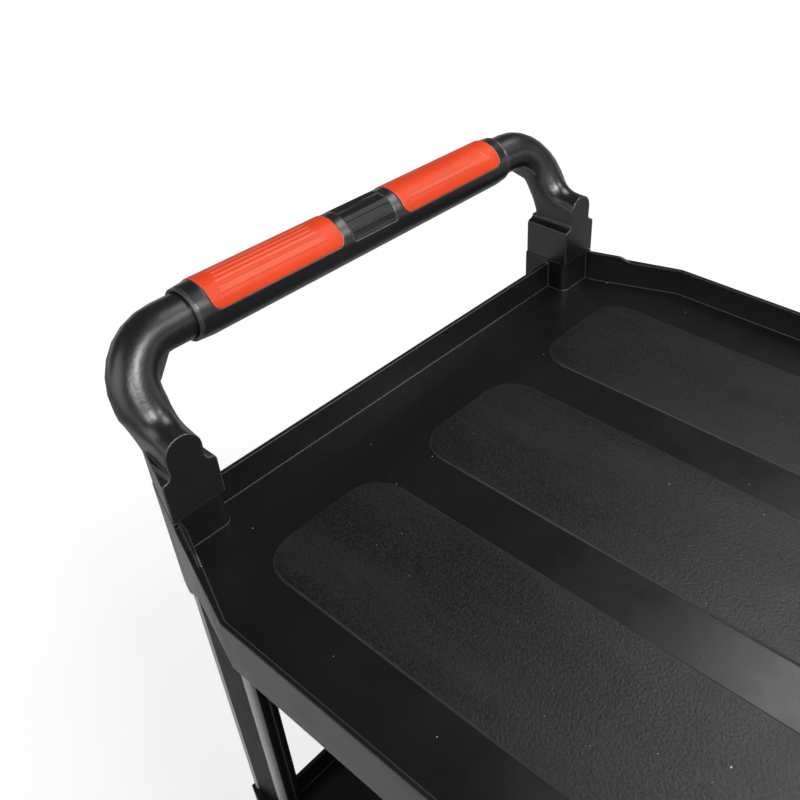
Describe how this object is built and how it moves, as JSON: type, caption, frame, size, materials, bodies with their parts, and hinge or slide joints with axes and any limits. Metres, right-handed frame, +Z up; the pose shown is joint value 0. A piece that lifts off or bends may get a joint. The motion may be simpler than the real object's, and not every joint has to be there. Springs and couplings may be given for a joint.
{
  "type": "shelf trolley",
  "caption": "Shelf trolley with moulded plastic trays on corner legs, a push handle with soft grip pads at one end and swivel casters.",
  "frame": {"origin": "on the floor, under the middle of the whole trolley's length and width", "axes": "+Z up, +X along the trays from the handle end to the far end, +Y to the left of a person who pushes at the handle"},
  "size_m": [0.93, 0.465, 0.9786],
  "materials": {
    "tray_plastic": "black moulded plastic, fine grain, semi-gloss",
    "leg_plastic": "black extruded plastic, semi-gloss",
    "handle_plastic": "black moulded plastic, satin",
    "soft_red": "red-orange soft-touch moulding, matte",
    "zinc_steel": "zinc plated",
    "wheel_plastic": "dark grey moulded plastic",
    "tyre_rubber": "grey rubber, matte"
  },
  "bodies": {
    "frame": {"base_tray": "tray_plastic", "middle_tray": "tray_plastic", "top_tray": "tray_plastic", "leg_lower_handle_left": "leg_plastic", "leg_lower_handle_right": "leg_plastic", "leg_lower_far_left": "leg_plastic", "leg_lower_far_right": "leg_plastic", "leg_upper_handle_left": "leg_plastic", "leg_upper_handle_right": "leg_plastic", "leg_upper_far_left": "leg_plastic", "leg_upper_far_right": "leg_plastic", "handle_elbow_left": "handle_plastic", "handle_elbow_right": "handle_plastic", "grip_shell_upper": "handle_plastic", "grip_shell_lower": "handle_plastic", "grip_insert": "handle_plastic", "post_cap_left": "handle_plastic", "post_cap_right": "handle_plastic", "grip_pad_left": "soft_red", "grip_pad_right": "soft_red", "handle_core_tube": "zinc_steel", "grip_screw_left": "zinc_steel", "grip_screw_right": "zinc_steel", "caster_plate_handle_left": "zinc_steel", "kingpin_handle_left": "zinc_steel", "caster_plate_handle_right": "zinc_steel", "kingpin_handle_right": "zinc_steel", "caster_plate_far_left": "zinc_steel", "kingpin_far_left": "zinc_steel", "caster_plate_far_right": "zinc_steel", "kingpin_far_right": "zinc_steel"},
    "fork_handle_left": {"fork_handle_left": "zinc_steel", "axle_handle_left": "zinc_steel", "bush_handle_left": "wheel_plastic"},
    "wheel_handle_left": {"wheel_hub_handle_left": "wheel_plastic", "tyre_handle_left": "tyre_rubber"},
    "fork_handle_right": {"fork_handle_right": "zinc_steel", "axle_handle_right": "zinc_steel", "bush_handle_right": "wheel_plastic"},
    "wheel_handle_right": {"wheel_hub_handle_right": "wheel_plastic", "tyre_handle_right": "tyre_rubber"},
    "fork_far_left": {"fork_far_left": "zinc_steel", "axle_far_left": "zinc_steel", "bush_far_left": "wheel_plastic"},
    "wheel_far_left": {"wheel_hub_far_left": "wheel_plastic", "tyre_far_left": "tyre_rubber"},
    "fork_far_right": {"fork_far_right": "zinc_steel", "axle_far_right": "zinc_steel", "bush_far_right": "wheel_plastic"},
    "wheel_far_right": {"wheel_hub_far_right": "wheel_plastic", "tyre_far_right": "tyre_rubber"}
  },
  "joints": [
    {"name": "swivel_handle_left", "type": "hinge", "parent": "frame", "child": "fork_handle_left", "pos_m": [-0.3597, 0.16, 0.1179], "axis": [0, 0, 1], "continuous": true},
    {"name": "roll_handle_left", "type": "hinge", "parent": "fork_handle_left", "child": "wheel_handle_left", "pos_m": [-0.3897, 0.16, 0.05], "axis": [0, 1, 0], "continuous": true},
    {"name": "swivel_handle_right", "type": "hinge", "parent": "frame", "child": "fork_handle_right", "pos_m": [-0.3597, -0.16, 0.1179], "axis": [0, 0, 1], "continuous": true},
    {"name": "roll_handle_right", "type": "hinge", "parent": "fork_handle_right", "child": "wheel_handle_right", "pos_m": [-0.3897, -0.16, 0.05], "axis": [0, 1, 0], "continuous": true},
    {"name": "swivel_far_left", "type": "hinge", "parent": "frame", "child": "fork_far_left", "pos_m": [0.3897, 0.16, 0.1179], "axis": [0, 0, 1], "continuous": true},
    {"name": "roll_far_left", "type": "hinge", "parent": "fork_far_left", "child": "wheel_far_left", "pos_m": [0.3597, 0.16, 0.05], "axis": [0, 1, 0], "continuous": true},
    {"name": "swivel_far_right", "type": "hinge", "parent": "frame", "child": "fork_far_right", "pos_m": [0.3897, -0.16, 0.1179], "axis": [0, 0, 1], "continuous": true},
    {"name": "roll_far_right", "type": "hinge", "parent": "fork_far_right", "child": "wheel_far_right", "pos_m": [0.3597, -0.16, 0.05], "axis": [0, 1, 0], "continuous": true}
  ]
}
